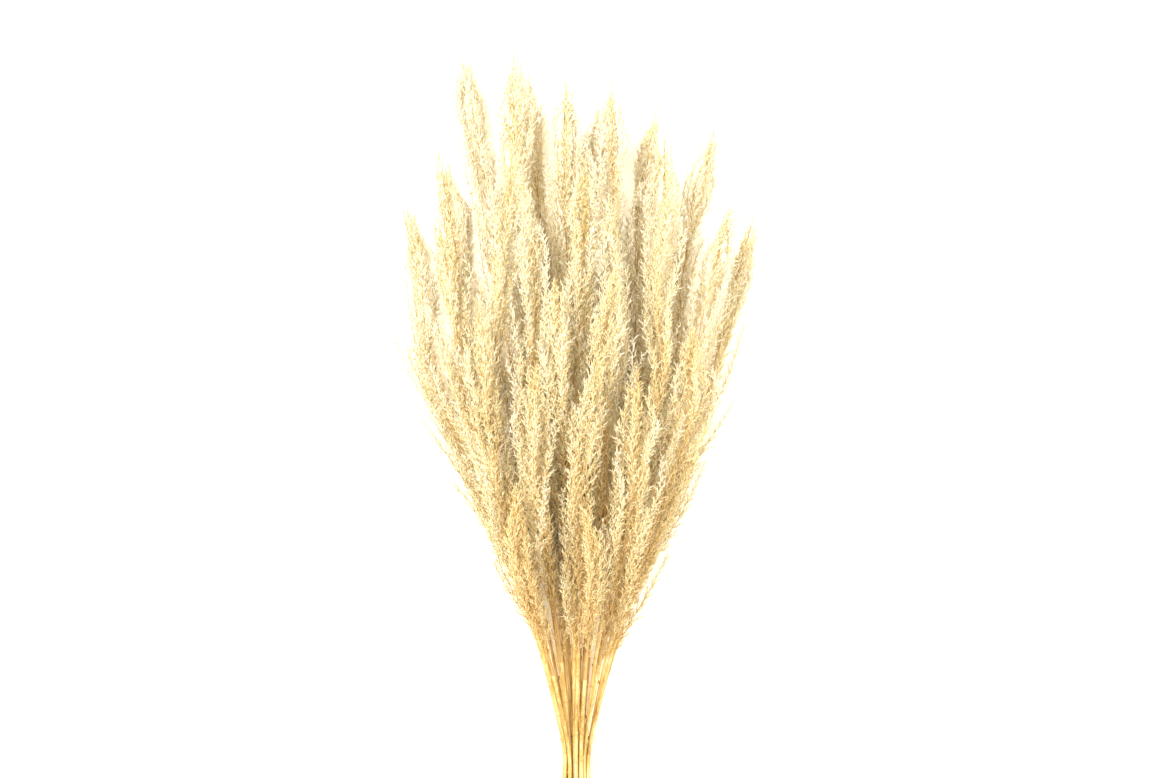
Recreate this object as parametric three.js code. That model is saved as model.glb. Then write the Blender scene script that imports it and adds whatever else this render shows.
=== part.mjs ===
// A bunch of bleached, preserved fern, lying on a surface: cut stems bound by an elastic band near their
// foot, and on each stem one long feathery plume. The short ferns lie on top and the long ones below them,
// so that every plume shows in the face of the bunch.
// Millimetres. +Y runs along the bunch from the cut ends to the tips, +Z is up from the surface.
import * as THREE from "three";

// ---- driving dimensions ----

const STEM_RADIUS = { foot: 1.75, neck: 1.15, neckAlong: 360 }; // thins evenly from the foot to the neck
const STEM_SIDES = 6;

const PLUME_SIDES = 10;
const PLUME_BASE_RADIUS = 2.6; // where the foliage starts on the stem
const PLUME_TIP_RADIUS = 1.6; // just before the closing point
const PLUME_PROFILE_POWER = 0.75; // under 1 gives full shoulders, over 1 gives a slim spindle
const PLUME_WIDEST = 0.42; // share of the foliage's length, from its base
const PLUME_REST = 0.72; // how far a plume sinks onto the surface, as axis height over radius
const PLUME_TIP_LENGTH = 9; // closing cone at the tip

const BAND = { along: 95, width: 7, thickness: 1.3, rise: 1.25, sides: 28 }; // rise keeps it off the surface
const BUNDLED_TO = 165; // the stems run together up to here, and spread from here to the tips
const BUNDLED_SPREAD = { foot: 1.42, top: 1.12 }; // over the spread at the band

const CLEARANCE = 0.45; // gap kept between neighbouring pieces
const STATION_STEP = 35; // distance between cross-sections
const STATIONS_BELOW_BAND = 3;

// One row for each fern. side and along place its tip, height is its tip's height above the surface,
// foot is where its stem is cut, leaf is where its foliage starts, and girth is its plume's widest radius.
const LONG_FERNS = [
  { side: -90, along: 698, height: 8, foot: 4, leaf: 352, girth: 17.5 },
  { side: -62, along: 697, height: 44, foot: 0, leaf: 372, girth: 17.5 },
  { side: -38, along: 690, height: 7, foot: 9, leaf: 345, girth: 17.0 },
  { side: -14, along: 676, height: 40, foot: 2, leaf: 360, girth: 17.0 },
  { side: 14, along: 664, height: 8, foot: 7, leaf: 340, girth: 17.5 },
  { side: 34, along: 668, height: 42, foot: 3, leaf: 365, girth: 17.0 },
  { side: 60, along: 652, height: 7, foot: 10, leaf: 338, girth: 17.0 },
  { side: 82, along: 628, height: 44, foot: 1, leaf: 345, girth: 16.5 },
  { side: 104, along: 636, height: 8, foot: 6, leaf: 330, girth: 17.0 },
  { side: -112, along: 616, height: 8, foot: 8, leaf: 318, girth: 17.0 },
];
const SIDE_FERNS = [
  { side: -134, along: 574, height: 10, foot: 5, leaf: 282, girth: 17.0 },
  { side: -112, along: 560, height: 48, foot: 11, leaf: 268, girth: 16.5 },
  { side: 144, along: 560, height: 10, foot: 3, leaf: 272, girth: 17.0 },
  { side: 122, along: 572, height: 46, foot: 9, leaf: 280, girth: 16.5 },
];
const MIDDLE_FERNS = [
  { side: -60, along: 612, height: 74, foot: 6, leaf: 305, girth: 17.5 },
  { side: -34, along: 584, height: 84, foot: 12, leaf: 290, girth: 17.0 },
  { side: 4, along: 604, height: 70, foot: 4, leaf: 300, girth: 17.0 },
  { side: 38, along: 576, height: 82, foot: 8, leaf: 285, girth: 17.0 },
  { side: 66, along: 590, height: 76, foot: 2, leaf: 296, girth: 17.5 },
];
const UPPER_FERNS = [
  { side: -84, along: 490, height: 88, foot: 7, leaf: 238, girth: 16.5 },
  { side: -12, along: 506, height: 102, foot: 10, leaf: 262, girth: 15.0 },
  { side: 20, along: 522, height: 106, foot: 5, leaf: 256, girth: 15.0 },
  { side: 96, along: 470, height: 84, foot: 13, leaf: 226, girth: 17.0 },
];
const SHORT_FERNS = [
  { side: -36, along: 440, height: 106, foot: 9, leaf: 206, girth: 17.0 },
  { side: 4, along: 446, height: 116, foot: 2, leaf: 212, girth: 15.0 },
  { side: 52, along: 438, height: 110, foot: 12, leaf: 204, girth: 17.0 },
  { side: -40, along: 346, height: 82, foot: 14, leaf: 196, girth: 14.0 },
  { side: 12, along: 328, height: 86, foot: 6, leaf: 192, girth: 13.5 },
];
const FERNS = [...LONG_FERNS, ...SIDE_FERNS, ...MIDDLE_FERNS, ...UPPER_FERNS, ...SHORT_FERNS];

// ---- finishes ----

const finish = (color, roughness) => new THREE.MeshStandardMaterial({ color, roughness, metalness: 0 });
const stemFinish = finish("#dcc07a", 0.6);
const plumeFinish = finish("#f3e6bd", 0.85);
const bandFinish = finish("#c9a56b", 0.7);

// ---- sections of one fern ----

function stemRadius(along) {
  const share = THREE.MathUtils.clamp(along / STEM_RADIUS.neckAlong, 0, 1);
  return THREE.MathUtils.lerp(STEM_RADIUS.foot, STEM_RADIUS.neck, share);
}

// A spindle: it swells from the foliage's base to its widest, then tapers to the tip.
function plumeRadius(fern, along) {
  const share = THREE.MathUtils.clamp((along - fern.leaf) / (fern.along - fern.leaf), 0, 1);
  const rising = share < PLUME_WIDEST;
  const toEnd = rising ? 1 - share / PLUME_WIDEST : (share - PLUME_WIDEST) / (1 - PLUME_WIDEST);
  const end = rising ? PLUME_BASE_RADIUS : PLUME_TIP_RADIUS;
  return end + (fern.girth - end) * Math.cos((toEnd * Math.PI) / 2) ** PLUME_PROFILE_POWER;
}

function fernRadius(fern, along) {
  return along < fern.leaf ? stemRadius(along) : plumeRadius(fern, along);
}

// ---- how the ferns settle beside each other ----

const firstStation = BAND.along - STATIONS_BELOW_BAND * STATION_STEP;
const longest = Math.max(...FERNS.map((fern) => fern.along));
const stationCount = Math.ceil((longest - firstStation) / STATION_STEP) + 1;
const stations = Array.from({ length: stationCount }, (_, k) => firstStation + k * STATION_STEP);
const bandStation = STATIONS_BELOW_BAND;
const firstFree = stations.findIndex((along) => along >= BUNDLED_TO); // before it the band holds the stems

const stemsArea = FERNS.length * (stemRadius(BAND.along) + CLEARANCE) ** 2;
const bundleRadius = Math.sqrt(stemsArea / 0.8); // round stems fill about 0.8 of the bundle
const bundleHeight = BAND.thickness + CLEARANCE + bundleRadius + BAND.rise;

// Where a fern stands among all of them in some measure, from -1 for the least to 1 for the most.
function ranking(measure) {
  const inOrder = FERNS.map(measure).sort((a, b) => a - b);
  return (fern) => (2 * inOrder.indexOf(measure(fern)) + 1) / FERNS.length - 1;
}

const sideRank = ranking((fern) => fern.side / (fern.along - BUNDLED_TO));
const riseRank = ranking((fern) => (fern.height - bundleHeight) / (fern.along - BUNDLED_TO));

// The stems that lean out or rise the most are at the outside or the top of the round bundle,
// so that none has to cross another on its way to its tip.
function placeInBundle(fern, spread) {
  const across = sideRank(fern);
  const up = riseRank(fern);
  const reach = (bundleRadius - stemRadius(BAND.along)) * spread;
  return new THREE.Vector2(
    across * Math.sqrt(1 - up ** 2 / 2) * reach,
    bundleHeight + up * Math.sqrt(1 - across ** 2 / 2) * reach,
  );
}

// Where a fern would like to run: along the bundle, and from its end straight to its tip.
function wishedPlace(fern, along) {
  const { foot, top } = BUNDLED_SPREAD;
  const splay = THREE.MathUtils.mapLinear(along, 0, BAND.along, foot, 1);
  if (along < BAND.along) return placeInBundle(fern, splay);
  const rise = THREE.MathUtils.mapLinear(along, BAND.along, BUNDLED_TO, 1, top);
  const bundled = placeInBundle(fern, Math.min(rise, top));
  const share = Math.max(0, (along - BUNDLED_TO) / (fern.along - BUNDLED_TO));
  return bundled.lerp(new THREE.Vector2(fern.side, fern.height), share);
}

// A fern takes up room at each station that it reaches, and a little at the one just past its tip.
function room(fern, along) {
  if (along > fern.along + STATION_STEP || along < fern.foot - STATION_STEP) return 0;
  return fernRadius(fern, Math.min(along, fern.along)) + CLEARANCE;
}

function lowestAxis(fern, along) {
  const under = Math.abs(along - BAND.along) < STATION_STEP / 2 ? BAND.thickness + CLEARANCE : 0;
  return fernRadius(fern, along) * (along < fern.leaf ? 1 : PLUME_REST) + under;
}

function pushApart(a, b, gap) {
  const apart = b.clone().sub(a);
  const distance = Math.max(apart.length(), 1e-3);
  if (distance >= gap) return;
  apart.multiplyScalar((gap - distance) / distance / 2);
  a.sub(apart);
  b.add(apart);
}

// Ferns are pulled to where they would like to run, stay smooth, and push each other apart.
function settle() {
  const paths = FERNS.map((fern) => stations.map((along) => wishedPlace(fern, along)));
  const wished = paths.map((path) => path.map((place) => place.clone()));
  const rooms = FERNS.map((fern) => stations.map((along) => room(fern, along)));
  const rounds = 900;
  for (let round = 0; round < rounds; round++) {
    const easing = Math.max(0, 1 - round / (0.7 * rounds)); // the last rounds only push apart
    paths.forEach((path, i) => {
      path.forEach((place, k) => place.lerp(wished[i][k], (k < firstFree ? 0.25 : 0.04) * easing));
      for (let k = firstFree; k < path.length - 1; k++) {
        const middle = path[k - 1].clone().add(path[k + 1]).multiplyScalar(0.5);
        path[k].lerp(middle, 0.3 * easing);
      }
    });
    stations.forEach((along, k) => {
      for (let i = 0; i < FERNS.length; i++) {
        for (let j = i + 1; j < FERNS.length; j++) {
          if (rooms[i][k] && rooms[j][k]) pushApart(paths[i][k], paths[j][k], rooms[i][k] + rooms[j][k]);
        }
      }
      FERNS.forEach((fern, i) => {
        paths[i][k].y = Math.max(paths[i][k].y, lowestAxis(fern, Math.min(along, fern.along)));
      });
    });
  }
  return paths;
}

const paths = settle();

function placeAlong(path, along) {
  const at = THREE.MathUtils.clamp((along - firstStation) / STATION_STEP, 0, stationCount - 1.001);
  const k = Math.floor(at);
  return path[k].clone().lerp(path[k + 1], at - k);
}

// ---- solids ----

// A body turned about +Y from a list of [radius, along], then leaned so that its middle follows the path.
function turnedAlong(profile, sides, path) {
  const points = profile.map(([radius, along]) => new THREE.Vector2(radius, along));
  const geometry = new THREE.LatheGeometry(points, sides);
  const position = geometry.getAttribute("position");
  for (let i = 0; i < position.count; i++) {
    const along = position.getY(i);
    const middle = placeAlong(path, along);
    position.setX(i, position.getX(i) + middle.x);
    position.setZ(i, Math.max(0, position.getZ(i) + middle.y)); // foliage lies flat on the surface
  }
  geometry.computeVertexNormals();
  return geometry;
}

function closedProfile(from, to, radiusAt) {
  const between = stations.filter((along) => along > from + 2 && along < to - 2);
  const rings = [from, ...between, to].map((along) => [radiusAt(along), along]);
  return [[0, from], ...rings, [0, to]];
}

function stem(fern, path) {
  const profile = closedProfile(fern.foot, fern.leaf - CLEARANCE, stemRadius);
  return turnedAlong(profile, STEM_SIDES, path);
}

function plume(fern, path) {
  const radiusAt = (along) => plumeRadius(fern, along);
  const profile = closedProfile(fern.leaf, fern.along - PLUME_TIP_LENGTH, radiusAt);
  profile[profile.length - 1] = [0, fern.along];
  return turnedAlong(profile, PLUME_SIDES, path);
}

// The band is a ring of square section. Its middle creeps towards whichever stem is furthest out,
// by less each time, which brings it to the middle of the smallest ring that goes round them all.
function band() {
  const edges = [BAND.along - BAND.width / 2, BAND.along, BAND.along + BAND.width / 2];
  const held = paths.flatMap((path) => edges.map((along) => placeAlong(path, along)));
  const centre = new THREE.Vector2(0, bundleHeight);
  const furthest = () => held.reduce((a, b) => (a.distanceTo(centre) > b.distanceTo(centre) ? a : b));
  for (let step = 1; step < 400; step++) centre.lerp(furthest(), 1 / (step + 1));
  const inside = furthest().distanceTo(centre) + stemRadius(edges[0]) + CLEARANCE;
  const outside = inside + BAND.thickness;
  const section = [
    [inside, edges[0]],
    [outside, edges[0]],
    [outside, edges[2]],
    [inside, edges[2]],
    [inside, edges[0]],
  ].map(([radius, along]) => new THREE.Vector2(radius, along));
  return new THREE.LatheGeometry(section, BAND.sides).translate(centre.x, 0, centre.y);
}

// ---- the bunch ----

const bunch = new THREE.Group();

function add(name, geometry, material) {
  const mesh = new THREE.Mesh(geometry, material);
  mesh.name = name;
  bunch.add(mesh);
}

FERNS.forEach((fern, i) => {
  const number = String(i + 1).padStart(2, "0");
  add(`stem_${number}`, stem(fern, paths[i]), stemFinish);
  add(`plume_${number}`, plume(fern, paths[i]), plumeFinish);
});
add("elastic_band", band(), bandFinish);

// The origin is at the middle of the bunch's outline, on the surface that it lies on.
const outline = new THREE.Box3().setFromObject(bunch);
const middle = outline.getCenter(new THREE.Vector3());
bunch.children.forEach((mesh) => mesh.geometry.translate(-middle.x, -middle.y, -outline.min.z));

export default bunch;
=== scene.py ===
"""A bunch of bleached, preserved fern that lies on a table: bare stalks held by an elastic band, and on each
stalk one plume of long slender sprays. Each fern is grown along its own solid in the frame. Lengths in the
growing are in millimetres, and MM turns them into metres."""
import math
import random

import bpy
import numpy as np
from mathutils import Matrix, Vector


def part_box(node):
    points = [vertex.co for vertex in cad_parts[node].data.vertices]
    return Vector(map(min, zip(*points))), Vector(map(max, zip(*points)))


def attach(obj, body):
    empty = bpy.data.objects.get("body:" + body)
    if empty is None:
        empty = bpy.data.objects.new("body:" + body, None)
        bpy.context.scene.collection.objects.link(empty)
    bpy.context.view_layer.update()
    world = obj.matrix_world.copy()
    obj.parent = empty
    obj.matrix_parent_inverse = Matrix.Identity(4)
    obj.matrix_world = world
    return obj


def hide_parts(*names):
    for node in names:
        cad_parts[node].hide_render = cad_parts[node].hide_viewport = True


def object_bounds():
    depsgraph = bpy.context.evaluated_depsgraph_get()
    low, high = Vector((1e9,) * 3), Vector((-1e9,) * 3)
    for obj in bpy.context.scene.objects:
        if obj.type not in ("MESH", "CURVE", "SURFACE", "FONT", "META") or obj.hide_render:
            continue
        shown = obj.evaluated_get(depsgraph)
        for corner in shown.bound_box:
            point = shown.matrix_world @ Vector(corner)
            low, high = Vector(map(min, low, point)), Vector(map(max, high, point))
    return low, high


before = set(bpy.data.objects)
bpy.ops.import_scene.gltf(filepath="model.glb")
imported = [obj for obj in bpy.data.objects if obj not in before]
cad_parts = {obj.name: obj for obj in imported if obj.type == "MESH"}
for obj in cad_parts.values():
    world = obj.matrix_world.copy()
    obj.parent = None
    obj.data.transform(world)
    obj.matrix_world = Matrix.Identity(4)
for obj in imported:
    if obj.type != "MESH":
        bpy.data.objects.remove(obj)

MM = 0.001
cad_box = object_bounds()
FERNS = sorted(name[-2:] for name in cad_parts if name.startswith("stem_"))
GOLDEN_ANGLE = math.radians(137.508)


# ---- camera ----

VIEW_WIDTH = 934.4  # of table that the picture takes in, at the middle of the bunch's height
VIEW_CENTRE = (3.1, 75.8)
CAMERA_HEIGHT = 2600
SENSOR = 36


def place_camera():
    lens = bpy.data.cameras.new("camera")
    middle_height = (cad_box[0].z + cad_box[1].z) / 2 / MM
    lens.sensor_width = SENSOR
    lens.lens = SENSOR * CAMERA_HEIGHT / VIEW_WIDTH
    lens.clip_end = 20
    camera = bpy.data.objects.new("camera", lens)
    camera.location = (VIEW_CENTRE[0] * MM, VIEW_CENTRE[1] * MM, (middle_height + CAMERA_HEIGHT) * MM)
    bpy.context.scene.collection.objects.link(camera)
    bpy.context.scene.camera = camera


place_camera()


# ---- node trees, for materials and for growing ----


class Wire:
    """One output of a node. Sums on wires add their Math nodes."""

    def __init__(self, net, node, output):
        self.net, self.node = net, node
        self.socket = node.outputs[output] if len(node.outputs) else None

    def out(self, output):
        return Wire(self.net, self.node, output)

    def _sum(self, operation, *terms):
        return self.net.add("ShaderNodeMath", {"operation": operation}, dict(enumerate(terms)))

    def __add__(self, other):
        return self._sum("ADD", self, other)

    def __radd__(self, other):
        return self._sum("ADD", other, self)

    def __sub__(self, other):
        return self._sum("SUBTRACT", self, other)

    def __rsub__(self, other):
        return self._sum("SUBTRACT", other, self)

    def __mul__(self, other):
        return self._sum("MULTIPLY", self, other)

    def __rmul__(self, other):
        return self._sum("MULTIPLY", other, self)

    def __truediv__(self, other):
        return self._sum("DIVIDE", self, other)

    def __lt__(self, other):
        return self._sum("LESS_THAN", self, other)

    def exp(self):
        return self._sum("EXPONENT", self)

    def stretched(self, low, high, to_low=0.0, to_high=1.0):
        values = {"From Min": low, "From Max": high, "To Min": to_low, "To Max": to_high, "Value": self}
        return self.net.add("ShaderNodeMapRange", {"clamp": True}, values)


class Net:
    """A node tree, and one way to add any node to it."""

    def __init__(self, tree):
        self.tree = tree

    def add(self, kind, settings=None, sockets=None, output=0):
        node = self.tree.nodes.new(kind)
        for name, value in (settings or {}).items():
            if name == "stops":
                self._set_stops(node.color_ramp, value)
            else:
                setattr(node, name, value)
        for key, value in (sockets or {}).items():
            self.feed(node.inputs[key], value)
        return Wire(self, node, output)

    def feed(self, socket, value):
        if isinstance(value, Wire):
            self.tree.links.new(value.socket, socket)
        else:
            socket.default_value = value

    @staticmethod
    def _set_stops(ramp, stops):
        while len(ramp.elements) < len(stops):
            ramp.elements.new(0.5)
        for element, (position, colour) in zip(ramp.elements, stops):
            element.position, element.color = position, colour

    def noise(self, vector, scale, detail=3.0):
        return self.add("ShaderNodeTexNoise", {}, {"Vector": vector, "Scale": scale, "Detail": detail})

    def ramp(self, factor, stops):
        return self.add("ShaderNodeValToRGB", {"stops": stops}, {"Fac": factor})

    def blend(self, factor, first, second, how="MIX"):
        settings = {"data_type": "RGBA", "blend_type": how}
        return self.add("ShaderNodeMix", settings, {"Factor": factor, 6: first, 7: second}, 2)

    def parts(self, vector):
        x = self.add("ShaderNodeSeparateXYZ", {}, {0: vector})
        return x, x.out(1), x.out(2)


def rgb(hexadecimal):
    """A colour as paint charts give it, turned into the linear values that shaders use."""
    parts = [int(hexadecimal[i : i + 2], 16) / 255 for i in (1, 3, 5)]
    return tuple(p / 12.92 if p < 0.04045 else ((p + 0.055) / 1.055) ** 2.4 for p in parts) + (1.0,)


def new_material(name):
    material = bpy.data.materials.new(name)
    material.use_nodes = True
    net = Net(material.node_tree)
    return material, net, material.node_tree.nodes["Principled BSDF"].inputs


# ---- finishes ----


def bleached_foliage():
    """Cream needles on straw twigs. U is the tone: how far out in the plume a needle is, painted as shade so
    that needles deep in the plume are a darker gold, with each plume's own random tone and paler higher up.
    V runs from its foot to its tip; the twigs keep to the lowest V."""
    material, net, shader = new_material("bleached foliage")
    across, along, _ = net.parts(net.add("ShaderNodeUVMap", {"uv_map": "OFBake"}))
    # Painted shade: low U, deep in a plume, gives the darker golds of needles and twigs alike.
    needle = net.ramp(
        across,
        [
            (0.0, rgb("#c8923a")),
            (0.3, rgb("#edcb7d")),
            (0.6, rgb("#fae8b0")),
            (0.85, rgb("#f9edc9")),
            (1.0, rgb("#faf2da")),
        ],
    )
    pale_tip = net.blend(along.stretched(0.45, 1.0, 0.0, 0.35), needle, rgb("#faf2dc"))
    twig = net.ramp(across, [(0.0, rgb("#b98a3e")), (0.6, rgb("#e2c487")), (1.0, rgb("#f4e6bd"))])
    net.feed(shader["Base Color"], net.blend(along < 0.12, pale_tip, twig))
    net.feed(shader["Roughness"], along.stretched(0.1, 1.0, 0.62, 0.8))
    shader["Specular IOR Level"].default_value = 0.3
    shader["Sheen Weight"].default_value = 0.15
    return material


def straw_stalk():
    """Dried stalk: straw gold, with fine lengthwise fibres, browner nodes and pale pith where it is cut."""
    material, net, shader = new_material("straw stalk")
    place = net.add("ShaderNodeTexCoord", output="Object")
    lengthwise = net.add("ShaderNodeMapping", {}, {"Vector": place, "Scale": (1.0, 0.035, 1.0)})
    fibres = net.noise(lengthwise, 1500.0, 4.0)
    patches = net.noise(net.add("ShaderNodeMapping", {}, {"Vector": place, "Scale": (1, 0.3, 1)}), 130.0)
    mixed = 0.55 * fibres + 0.45 * patches
    straw = net.ramp(
        mixed,
        [
            (0.3, rgb("#9c6f2a")),
            (0.44, rgb("#c79e4e")),
            (0.56, rgb("#e0c07a")),
            (0.72, rgb("#f2dfa9")),
        ],
    )
    scar = net.add("ShaderNodeAttribute", {"attribute_name": "scar"}, output="Fac")
    pith = net.add("ShaderNodeAttribute", {"attribute_name": "pith"}, output="Fac")
    scarred = net.blend(scar * 0.6, straw, rgb("#9a6d33"))
    net.feed(shader["Base Color"], net.blend(pith * 0.8, scarred, rgb("#f3e3bd")))
    net.feed(shader["Roughness"], fibres.stretched(0.3, 0.7, 0.42, 0.62))
    bump = {"Height": fibres, "Strength": 0.35, "Distance": 0.0004}
    net.feed(shader["Normal"], net.add("ShaderNodeBump", {}, bump))
    shader["Specular IOR Level"].default_value = 0.4
    return material


def tan_rubber():
    material, net, shader = new_material("tan rubber")
    place = net.add("ShaderNodeTexCoord", output="Object")
    mottle = net.noise(place, 400.0, 5.0)
    bloom = net.noise(place, 90.0, 2.0)
    tan = net.ramp(0.6 * mottle + 0.4 * bloom, [(0.35, rgb("#a97c45")), (0.6, rgb("#c69c62"))])
    net.feed(shader["Base Color"], tan)
    net.feed(shader["Roughness"], bloom.stretched(0.3, 0.7, 0.5, 0.72))
    bump = {"Height": mottle, "Strength": 0.25, "Distance": 0.0003}
    net.feed(shader["Normal"], net.add("ShaderNodeBump", {}, bump))
    return material


FOLIAGE, STALK, RUBBER = bleached_foliage(), straw_stalk(), tan_rubber()


# ---- the course of each fern, read from its solids ----


def ring_list(node):
    """A solid's sections along the bunch, as rows of along, across, up and radius. Every section has a corner
    at its top, and the widest corners of a hexagon and a decagon are this much of its radius out."""
    widest = {"s": math.sin(math.radians(60)), "p": math.sin(math.radians(72))}[node[0]]
    points = np.array([v.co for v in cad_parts[node].data.vertices]) / MM
    rows = []
    for along in np.unique(np.round(points[:, 1], 1)):
        ring = points[np.abs(points[:, 1] - along) < 0.06]
        low, high = ring[:, 0].min(), ring[:, 0].max()
        radius = (high - low) / 2 / widest
        rows.append((along, (low + high) / 2, ring[:, 2].max() - radius, radius))
    return rows


def bend_through(at, knots, values):
    """Values between knots on a smooth curve through all of them."""
    slopes = np.gradient(values, knots)
    k = np.clip(np.searchsorted(knots, at) - 1, 0, len(knots) - 2)
    step = knots[k + 1] - knots[k]
    t = np.clip((at - knots[k]) / step, 0, 1)
    return (
        (2 * t**3 - 3 * t**2 + 1) * values[k]
        + (t**3 - 2 * t**2 + t) * step * slopes[k]
        + (3 * t**2 - 2 * t**3) * values[k + 1]
        + (t**3 - t**2) * step * slopes[k + 1]
    )


NODS = [7, -4, 11, -9, 5, 12, -7, 3, -12, 8]  # how far sideways each tip nods, in turn


class Course:
    """Where one fern runs, how thick its stalk is, and how far its foliage reaches from it."""

    def __init__(self, number):
        stem, plume = ring_list(f"stem_{number}"), ring_list(f"plume_{number}")
        self.foot, self.leaf, self.tip = stem[0][0], plume[0][0], plume[-1][0]
        knots = stem + [row for row in plume if row[0] > stem[-1][0] + 3]
        self.knots, self.across, self.up, _ = np.array(knots).T
        self.plume_knots, _, _, self.plume_reach = np.array(plume).T
        self.stem_knots, _, _, self.stem_radius = np.array(stem).T
        self.nod = NODS[int(number) % len(NODS)] * (0.3 if abs(self.across[-1]) > 110 else 1)

    def middle(self, along):
        along = np.asarray(along, float)
        upper = np.clip((along - self.leaf) / (self.tip - self.leaf) - 0.45, 0, 1)
        across = bend_through(along, self.knots, self.across) + self.nod * 3.3 * upper**2
        return np.stack([across, along, bend_through(along, self.knots, self.up)], -1)

    def reach(self, along):
        """The solid's radius, kept broad up to where the topmost sprays end."""
        solid = np.interp(along, self.plume_knots, self.plume_reach)
        broad = 0.95 * self.plume_reach.max() * np.clip((self.tip - along) / 45, 0.5, 1)
        opening = np.clip((along - self.leaf + 45) / 80, 0, 1)
        return np.maximum(solid, broad * opening)

    def girth(self, along):
        thinning = (self.tip - np.asarray(along, float)) / (self.tip - self.leaf)
        above = self.stem_radius[-1] * (0.25 + 0.75 * np.clip(thinning, 0, 1))
        return np.where(along < self.leaf, np.interp(along, self.stem_knots, self.stem_radius), above)


COURSES = {number: Course(number) for number in FERNS}


# ---- shells: closed tubes and scales gathered into one mesh ----


class Shells:
    def __init__(self):
        self.points, self.faces, self.scar, self.pith = [], [], [], []
        self.count = 0

    def tube(self, middles, radii, sides, scar=0.0, cut_foot=False, ribs=0.0):
        """A closed tube round a line, with a flat lid at each end."""
        middles = np.asarray(middles, float)
        ahead = np.gradient(middles, axis=0)
        ahead /= np.linalg.norm(ahead, axis=1, keepdims=True)
        steady = np.array([0.0, 0.0, 1.0]) if abs(ahead[0][2]) < 0.9 else np.array([1.0, 0.0, 0.0])
        beside = np.cross(ahead, steady)
        beside /= np.linalg.norm(beside, axis=1, keepdims=True)
        above = np.cross(beside, ahead)
        turn = np.arange(sides) * 2 * math.pi / sides
        radii = np.broadcast_to(radii, len(middles))[:, None] * (1 + ribs * np.cos(turn * (sides // 2)))
        ring = beside[:, None] * np.cos(turn)[:, None] + above[:, None] * np.sin(turn)[:, None]
        self._stack(middles[:, None] + ring * radii[..., None], scar, cut_foot)

    def _stack(self, rings, scar, cut_foot):
        start, (levels, sides, _) = self.count, rings.shape
        self.points.append(rings.reshape(-1, 3))
        self.scar.append(np.repeat(np.broadcast_to(scar, levels), sides))
        self.pith.append(np.repeat(np.arange(levels) < (2 if cut_foot else 0), sides).astype(float))
        for level in range(levels - 1):
            low = start + level * sides
            for k in range(sides):
                nxt = (k + 1) % sides
                self.faces.append((low + nxt, low + k, low + sides + k, low + sides + nxt))
        self.faces.append(tuple(range(start, start + sides)))
        top = start + (levels - 1) * sides
        self.faces.append(tuple(range(top + sides - 1, top - 1, -1)))
        self.count += levels * sides

    def loop(self, rings, scar=0.0):
        """A closed ring-shaped tube through sections that come back to the first one."""
        start, (levels, sides, _) = self.count, rings.shape
        self.points.append(rings.reshape(-1, 3))
        self.scar.append(np.full(levels * sides, scar))
        self.pith.append(np.zeros(levels * sides))
        for level in range(levels):
            low, high = start + level * sides, start + (level + 1) % levels * sides
            for k in range(sides):
                nxt = (k + 1) % sides
                self.faces.append((low + k, low + nxt, high + nxt, high + k))
        self.count += levels * sides

    def mesh(self, name):
        mesh = bpy.data.meshes.new(name)
        mesh.from_pydata(np.concatenate(self.points) * MM, [], self.faces)
        for key, values in (("scar", self.scar), ("pith", self.pith)):
            layer = mesh.attributes.new(key, "FLOAT", "POINT")
            layer.data.foreach_set("value", np.concatenate(values).astype(np.float32))
        mesh.polygons.foreach_set("use_smooth", [len(face) == 4 for face in self.faces])
        mesh.update()
        return mesh


def show(name, mesh, material, node):
    """Puts a finished mesh into the scene in place of its solid."""
    piece = bpy.data.objects.new(name, mesh)
    bpy.context.scene.collection.objects.link(piece)
    if not mesh.materials:
        mesh.materials.append(material)
    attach(piece, "root")
    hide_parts(node)
    return piece


# ---- stalks ----

NODE_SPACING = (22, 34)
NODE_HALF = 1.2  # a swollen node's half length
RING_STEP = 5.0
FACETS = 10


def grow_stalk(number, course):
    dice = random.Random(int(number) * 31)
    shells = Shells()
    top = course.leaf + 3
    nodes, along = [], course.foot + dice.uniform(8, 20)
    while along < top - 4:
        nodes.append(along)
        along += dice.uniform(*NODE_SPACING)
    at_nodes = np.ravel([[node - NODE_HALF, node, node + NODE_HALF] for node in nodes])
    rings = np.unique(np.concatenate([np.arange(course.foot, top, RING_STEP), at_nodes]))
    rings = rings[(rings >= course.foot) & (rings <= top)]
    near = np.min(np.abs(rings[:, None] - np.array(nodes)[None]), axis=1)
    swell = 1 + 0.14 * np.clip(1 - near / 1.6, 0, 1)
    shells.tube(
        course.middle(rings), course.girth(rings) * 0.97 * swell, FACETS,
        scar=np.clip(1 - near / 1.5, 0, 1) * 0.7, cut_foot=True, ribs=0.05,
    )
    for k, along in enumerate(nodes):
        turn = k * GOLDEN_ANGLE + int(number)
        bud(shells, course, along, turn, dice)
        if 105 < along - course.foot and dice.random() < 0.3:
            side_twig(shells, course, along, turn, dice)
    return shells.mesh(f"fern_{number}_stalk")


def outward(turn):
    return np.array([math.cos(turn), 0.0, math.sin(turn)])


def bud(shells, course, along, turn, dice):
    """The small pointed scale at a node, which lies up along the stalk."""
    out, foot = outward(turn), course.middle(along)
    girth = float(course.girth(along))
    height = dice.uniform(2.2, 4.0)
    line = [
        foot + out * girth * 0.7,
        foot + out * (girth * 1.05) + (0, height * 0.3, 0),
        foot + out * (girth * 1.25) + (0, height * 0.7, 0),
        foot + out * (girth * 1.35) + (0, height, 0),
    ]
    shells.tube(line, [0.55, 0.75, 0.5, 0.08], 5, scar=[0.8, 0.5, 0.4, 0.9])


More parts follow.
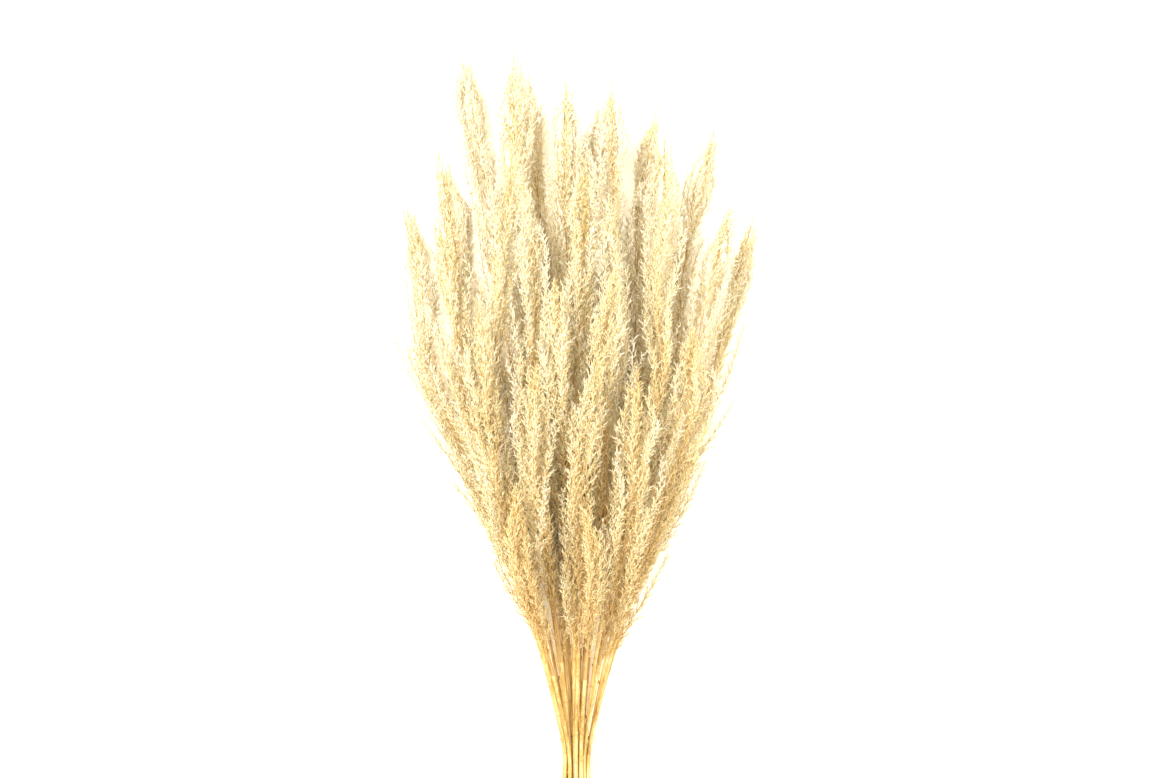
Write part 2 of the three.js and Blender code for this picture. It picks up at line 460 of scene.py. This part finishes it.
def side_twig(shells, course, along, turn, dice):
    """A thin bare twig that leaves a node, bends and runs up beside the stalk."""
    length = dice.uniform(16, 46)
    share = np.linspace(0, 1, 9)
    lean = dice.uniform(3.0, 7.5)
    run = course.middle(along + length * share)
    sway = np.sin(share * math.pi * dice.uniform(0.8, 1.7) + dice.uniform(0, 2)) * 0.8
    middles = run + outward(turn) * (1.0 + lean * share**0.7)[:, None] + outward(turn + 1.57) * sway[:, None]
    middles[:, 2] = np.maximum(middles[:, 2], 0.7)
    shells.tube(middles, 0.5 - 0.25 * share, 5, scar=0.1)


for number, course in COURSES.items():
    show(f"fern_{number}_stalk", grow_stalk(number, course), STALK, f"stem_{number}")


# ---- elastic band ----

# Each turn's place along the bunch, its tilt and how far it stands out.
BAND_TURNS = [(-2.3, 0.10, 0.0), (0.1, -0.06, 0.25), (2.4, 0.08, 0.1)]


def wind_band():
    """Three turns of one flat band, drawn tight round the outermost stalks."""
    low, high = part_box("elastic_band")
    along = (low.y + high.y) / 2 / MM
    stalks = [(course.middle(along)[[0, 2]], float(course.girth(along))) for course in COURSES.values()]
    turn = np.linspace(0, 2 * math.pi, 96, endpoint=False)
    facing = np.stack([np.cos(turn), np.sin(turn)], -1)
    support = np.max([facing @ middle + girth for middle, girth in stalks], axis=0)
    for _ in range(3):
        support = (np.roll(support, 1) + 2 * support + np.roll(support, -1)) / 4
    rise = (np.roll(support, -1) - np.roll(support, 1)) / (2 * (turn[1] - turn[0]))
    corner = np.linspace(0, 2 * math.pi, 10, endpoint=False)
    round_flat = lambda wave: np.sign(wave) * np.abs(wave) ** 0.6
    shells = Shells()
    for offset, tilt, proud in BAND_TURNS:
        sections = []
        for (x, z), out, slide in zip(facing, support, rise):
            middle = np.array([x * out - z * slide, 0.0, z * out + x * slide])
            axis = np.array([x, 0.0, z])
            depth = (0.55 + proud + 0.5 * round_flat(np.cos(corner)))[:, None]
            wide = (along + offset + tilt * middle[0] / 2 + 1.05 * round_flat(np.sin(corner)))[:, None]
            sections.append(middle + axis * depth + np.array([0.0, 1.0, 0.0]) * wide)
        shells.loop(np.array(sections))
    return shells.mesh("band_winding")


show("band_winding", wind_band(), RUBBER, "elastic_band")


# ---- foliage: where the twigs run ----

SPRAY_STEP = 4.0
LOWEST_SPRAY = cad_box[0].y / MM + 203
SPRAY_LENGTH = (62, 125)
SPRAY_SPACING = 8.6
TWIGLET_SPACING = 2.9
TWIGLET_LENGTH = 10.5
PALE_REACH = 17.0  # how far from the stalk's line the painted shade of the foliage fades to its palest


class Twigs:
    """Lines for the growing tree, each with its girth, its tone with painted shade, and whether needles stand
    on it.
    """

    def __init__(self):
        self.points, self.edges, self.girth, self.tone, self.leafy = [], [], [], [], []
        self.count = 0

    def line(self, points, girth, tone, leafy):
        size = len(points)
        first = self.count
        self.points.append(points)
        near_ends = np.arange(first, first + size - 1)
        self.edges.append(np.stack([near_ends, near_ends + 1], -1))
        self.girth.append(np.broadcast_to(girth, size))
        self.tone.append(np.broadcast_to(tone, size))
        self.leafy.append(np.full(size, float(leafy)))
        self.count += size

    def mesh(self, name):
        mesh = bpy.data.meshes.new(name)
        mesh.from_pydata(np.concatenate(self.points) * MM, np.concatenate(self.edges), [])
        for key, values in (("girth", self.girth), ("tone", self.tone), ("leafy", self.leafy)):
            layer = mesh.attributes.new(key, "FLOAT", "POINT")
            layer.data.foreach_set("value", np.concatenate(values).astype(np.float32))
        return mesh


def unit(vectors):
    return vectors / np.maximum(np.linalg.norm(vectors, axis=-1, keepdims=True), 1e-9)


def spray_line(course, start, length, turn, share, dice, flare=0.0):
    """A spray leaves the stalk, swings out to its share of the plume's reach and runs on towards the tip."""
    steps = max(6, int(length / SPRAY_STEP))
    t = np.linspace(0, 1, steps)
    along = start + length * (0.97 * t)
    out = np.maximum(course.reach(np.minimum(along, course.tip)) - 3.5, 1.0) * share
    out = out * (0.75 * (1 - np.exp(-4.5 * t)) + 0.25 * t + flare * t**3)
    sway = dice.uniform(-0.5, 0.5) * t + 0.12 * np.sin(t * dice.uniform(5, 9) + dice.uniform(0, 6))
    angle = turn + sway
    radial = np.stack([np.cos(angle), np.zeros(steps), np.sin(angle)], -1)
    line = course.middle(np.minimum(along, course.tip)) + radial * out[:, None]
    line[:, 1] = along
    wander = np.cumsum(dice.normal(0, 0.16, (steps, 3)), axis=0) * (1, 0, 1)
    return line + wander


def grow_twiglets(twigs, course, line, tone, dice):
    """Short straight twiglets all round a spray, longest below its middle, which lean up along it."""
    step = np.linalg.norm(np.diff(line, axis=0), axis=1)
    run = np.concatenate([[0], np.cumsum(step)])
    total = run[-1]
    at = np.arange(0.07 * total, total, TWIGLET_SPACING)
    at = at + dice.uniform(-0.6, 0.6, len(at))
    foot = np.stack([np.interp(at, run, line[:, k]) for k in range(3)], -1)
    ahead = unit(np.stack([np.interp(at, run, np.gradient(line[:, k], run)) for k in range(3)], -1))
    beside = unit(np.cross(ahead, [0.0, 0.0, 1.0]))
    above = np.cross(beside, ahead)
    turn = np.arange(len(at)) * GOLDEN_ANGLE + dice.uniform(0, 6.28)
    out = beside * np.cos(turn)[:, None] + above * np.sin(turn)[:, None]
    share = at / total
    size = TWIGLET_LENGTH * np.clip(share / 0.22, 0.35, 1) * (1 - 0.74 * share**1.4)
    size = size * dice.uniform(0.7, 1.25, len(at))
    lean = np.radians(dice.uniform(24, 44, len(at)))[:, None]
    for k in range(len(at)):
        first = ahead[k] * np.cos(lean[k]) + out[k] * np.sin(lean[k])
        then = unit(ahead[k] * np.cos(lean[k] * 0.45) + out[k] * np.sin(lean[k] * 0.45))
        points = np.stack([foot[k], foot[k] + (first + then) * size[k] * 0.5])
        middle = course.middle(min(points[1][1], course.tip))
        outside = np.linalg.norm((points[1] - middle)[[0, 2]]) / PALE_REACH
        # Painted shade: a twiglet that ends near the stalk's line, deep in the plume, is painted a darker
        # gold; twiglets also get paler towards the spray's end.
        shade = np.clip(tone + 0.42 * outside + 0.08 * share[k] + dice.normal(0, 0.08), 0.02, 0.98)
        twigs.line(points, (0.22, 0.09), shade, True)


def plan_foliage(number, course):
    dice = np.random.default_rng(int(number) * 101)
    twigs = Twigs()
    own_tone = 0.2 + dice.uniform(-0.08, 0.08)
    rachis = np.arange(course.leaf - 2, course.tip - 1, 6.0)
    twigs.line(course.middle(rachis), course.girth(rachis), own_tone, False)
    top = spray_line(course, course.tip - 85, 90, 0.0, 0.05, dice)
    twigs.line(top, np.linspace(0.45, 0.15, len(top)), own_tone + 0.2, False)
    grow_twiglets(twigs, course, top, own_tone + 0.16, dice)
    start, k = max(course.leaf - 75, LOWEST_SPRAY), 0
    while start < course.tip - 48:
        length = min(dice.uniform(*SPRAY_LENGTH), course.tip - start + dice.uniform(-18, 2))
        height = max(0.0, (start - course.leaf) / (course.tip - course.leaf))
        share = dice.choice([0.4, 0.75, 1.0, 1.2, 1.35]) * dice.uniform(0.9, 1.08)
        flare = dice.choice([0.0, 0.2, 0.45, 0.8])
        turn = k * GOLDEN_ANGLE + dice.uniform(-0.4, 0.4)
        line = spray_line(course, start, length, turn, share, dice, flare)
        # The spray's tone: the plume's own, paler higher in the plume and further up the bunch, and a little
        # paler as painted shade for sprays that swing further out.
        tone = own_tone + 0.1 * height + 0.05 * share + 0.3 * np.clip(line[:, 1].mean() / 280, -0.2, 1)
        twigs.line(line, np.linspace(0.5, 0.16, len(line)), tone, False)
        grow_twiglets(twigs, course, line, tone, dice)
        start += SPRAY_SPACING * dice.uniform(0.6, 1.4)
        k += 1
    return twigs.mesh(f"fern_{number}_plan")


# ---- foliage: the tree that grows twigs and needles on the lines ----


def add_inputs(tree, named):
    tree.interface.new_socket("Lines", in_out="INPUT", socket_type="NodeSocketGeometry")
    for name, (kind, value) in named.items():
        socket = tree.interface.new_socket(name, in_out="INPUT", socket_type=kind)
        if value is not None:
            socket.default_value = value
    tree.interface.new_socket("Foliage", in_out="OUTPUT", socket_type="NodeSocketGeometry")


def growing_tree():
    tree = bpy.data.node_groups.new("grow foliage", "GeometryNodeTree")
    add_inputs(
        tree,
        {
            "Needle Length": ("NodeSocketFloat", 5.2 * MM),
            "Needle Width": ("NodeSocketFloat", 0.52 * MM),
            "Needle Spacing": ("NodeSocketFloat", 1.45 * MM),
            "Needle Lean": ("NodeSocketFloat", 25.0),
            "Rest Height": ("NodeSocketFloat", 5.0 * MM),
            "Seed": ("NodeSocketInt", 1),
            "Foliage Material": ("NodeSocketMaterial", None),
        },
    )
    net = Net(tree)
    given = net.add("NodeGroupInput")

    def stored(name, kind="FLOAT"):
        return net.add("GeometryNodeInputNamedAttribute", {"data_type": kind}, {"Name": name})

    def store(geometry, name, value, kind="FLOAT", domain="POINT"):
        settings = {"data_type": kind, "domain": domain}
        values = {"Geometry": geometry, "Name": name, "Value": value}
        return net.add("GeometryNodeStoreNamedAttribute", settings, values)

    def between(low, high, salt):
        seed = given.out("Seed") + salt
        return net.add("FunctionNodeRandomValue", {"data_type": "FLOAT"}, {2: low, 3: high, "Seed": seed}, 1)

    lines = net.add("GeometryNodeMeshToCurve", {}, {"Mesh": given.out("Lines")})

    # Twigs: a three-sided tube on every line.
    section = net.add("GeometryNodeCurvePrimitiveCircle", {}, {"Resolution": 3, "Radius": 1.0})
    section = store(section, "grain", net.add("GeometryNodeInputPosition"), "FLOAT_VECTOR")
    tubes = {"Curve": lines, "Profile Curve": section, "Scale": stored("girth") * MM, "Fill Caps": True}
    twigs = net.add("GeometryNodeCurveToMesh", {}, tubes)

    # Needles: one slender spike at each point of the leafy lines, turned round by the golden angle.
    bare = stored("leafy") < 0.5
    leafy = net.add("GeometryNodeDeleteGeometry", {"domain": "CURVE"}, {"Geometry": lines, "Selection": bare})
    spread = {"Curve": leafy, "Length": given.out("Needle Spacing")}
    points = net.add("GeometryNodeCurveToPoints", {"mode": "LENGTH"}, spread)
    cone = {"Vertices": 3, "Side Segments": 1, "Fill Segments": 1}
    cone |= {"Radius Top": 0.0, "Radius Bottom": 1.0, "Depth": 1.0}
    spike = net.add("GeometryNodeMeshCone", {"fill_type": "NGON"}, cone)
    spike = store(spike, "grain", net.add("GeometryNodeInputPosition"), "FLOAT_VECTOR")
    order = net.add("GeometryNodeInputIndex")
    round_it = {"Axis": (0.0, 0.0, 1.0), "Angle": order * GOLDEN_ANGLE + between(-0.5, 0.5, 1)}
    lean = given.out("Needle Lean") * math.radians(1)
    lean_it = {"Axis": (1.0, 0.0, 0.0), "Angle": lean * between(0.65, 1.35, 2)}
    turned = points.out("Rotation")
    for axis_angle in (round_it, lean_it):
        about = net.add("FunctionNodeAxisAngleToRotation", {}, axis_angle)
        turned = net.add("FunctionNodeRotateRotation", {"rotation_space": "LOCAL"}, {0: turned, 1: about})
    length = given.out("Needle Length") * between(0.6, 1.2, 3)
    width = given.out("Needle Width") * between(0.8, 1.2, 4)
    size = net.add("ShaderNodeCombineXYZ", {}, {0: width, 1: width, 2: length})
    placed = {"Points": points, "Instance": spike, "Rotation": turned, "Scale": size}
    needles = net.add("GeometryNodeInstanceOnPoints", {}, placed)
    needles = net.add("GeometryNodeRealizeInstances", {}, {"Geometry": needles})

    # Lay both out on one sheet: across is the tone with its painted shade, and up it come the twigs and then
    # the needles.
    x, y, z = net.parts(stored("grain", "FLOAT_VECTOR"))
    tone = 0.02 + 0.94 * stored("tone") + 0.01 * x

    def charted(geometry, height):
        chart = net.add("ShaderNodeCombineXYZ", {}, {0: tone, 1: height})
        return store(geometry, "OFBake", chart, "FLOAT2", "CORNER")

    grown = net.add("GeometryNodeJoinGeometry")
    net.tree.links.new(charted(twigs, 0.05 + 0.02 * y).socket, grown.node.inputs[0])
    net.tree.links.new(charted(needles, 0.17 + 0.8 * z + 0.01 * y).socket, grown.node.inputs[0])

    # Whatever would pass through the surface lies down on it instead.
    here = net.add("GeometryNodeInputPosition")
    px, py, pz = net.parts(here)
    limit = given.out("Rest Height")
    lying = limit * (pz / limit - 1.0).exp()
    place = net.add("ShaderNodeCombineXYZ", {}, {0: px, 1: py, 2: lying})
    lay_down = {"Geometry": grown, "Selection": pz < limit, "Position": place}
    laid = net.add("GeometryNodeSetPosition", {}, lay_down)
    smooth = net.add("GeometryNodeSetShadeSmooth", {}, {"Geometry": laid})
    real = net.add("GeometryNodeRealizeInstances", {}, {"Geometry": smooth})
    coloured = {"Geometry": real, "Material": given.out("Foliage Material")}
    finished = net.add("GeometryNodeSetMaterial", {}, coloured)
    net.add("NodeGroupOutput", {}, {0: finished})
    return tree


GROWING = growing_tree()
SOCKET_IDS = {item.name: item.identifier for item in GROWING.interface.items_tree if item.in_out == "INPUT"}


def grow_foliage(number, course):
    name = f"fern_{number}_foliage"
    plan = bpy.data.objects.new(f"fern_{number}_plan", plan_foliage(number, course))
    bpy.context.scene.collection.objects.link(plan)
    growing = plan.modifiers.new("growing", "NODES")
    growing.node_group = GROWING
    growing[SOCKET_IDS["Seed"]] = int(number)
    growing[SOCKET_IDS["Foliage Material"]] = FOLIAGE
    evaluated = plan.evaluated_get(bpy.context.evaluated_depsgraph_get())
    mesh = bpy.data.meshes.new_from_object(evaluated)
    mesh.name = name
    plan.modifiers.remove(growing)
    bpy.data.objects.remove(plan)
    for attribute in ("tone", "girth", "leafy", "grain"):
        if attribute in mesh.attributes:
            mesh.attributes.remove(mesh.attributes[attribute])
    return show(name, mesh, FOLIAGE, f"plume_{number}")


for number, course in COURSES.items():
    grow_foliage(number, course)


# ---- studio ----


def lay_floor():
    """A pale table top. Its faint warm glow stands for the light that thin foliage lets through."""
    mesh = bpy.data.meshes.new("floor")
    half = 4.0
    corners = [(-half, -half, 0), (half, -half, 0), (half, half, 0), (-half, half, 0)]
    mesh.from_pydata(corners, [], [(0, 1, 2, 3)])
    floor = bpy.data.objects.new("floor", mesh)
    bpy.context.scene.collection.objects.link(floor)
    material, net, shader = new_material("pale table")
    shader["Base Color"].default_value = (0.9, 0.84, 0.72, 1)
    shader["Roughness"].default_value = 0.9
    shader["Specular IOR Level"].default_value = 0.0
    shader["Emission Color"].default_value = (1.0, 0.84, 0.56, 1)
    shader["Emission Strength"].default_value = 0.3
    mesh.materials.append(material)


def soft_light(name, place, aim, size, watts, colour=(1, 1, 1)):
    lamp = bpy.data.lights.new(name, "AREA")
    lamp.shape, lamp.size, lamp.energy, lamp.color = "DISK", size, watts, colour
    light = bpy.data.objects.new(name, lamp)
    light.location = place
    light.rotation_euler = (Vector(aim) - Vector(place)).to_track_quat("-Z", "Y").to_euler()
    bpy.context.scene.collection.objects.link(light)


lay_floor()
soft_light("key", (-1.1, 1.3, 2.0), (0, 0.1, 0), 1.1, 92)
soft_light("fill", (1.6, -0.2, 1.8), (0, 0.1, 0), 1.6, 36)
world = bpy.data.worlds.new("studio")
world.use_nodes = True
world.node_tree.nodes["Background"].inputs["Color"].default_value = (1, 1, 1, 1)
world.node_tree.nodes["Background"].inputs["Strength"].default_value = 1.08
bpy.context.scene.world = world
bpy.context.scene.view_settings.view_transform = "Standard"
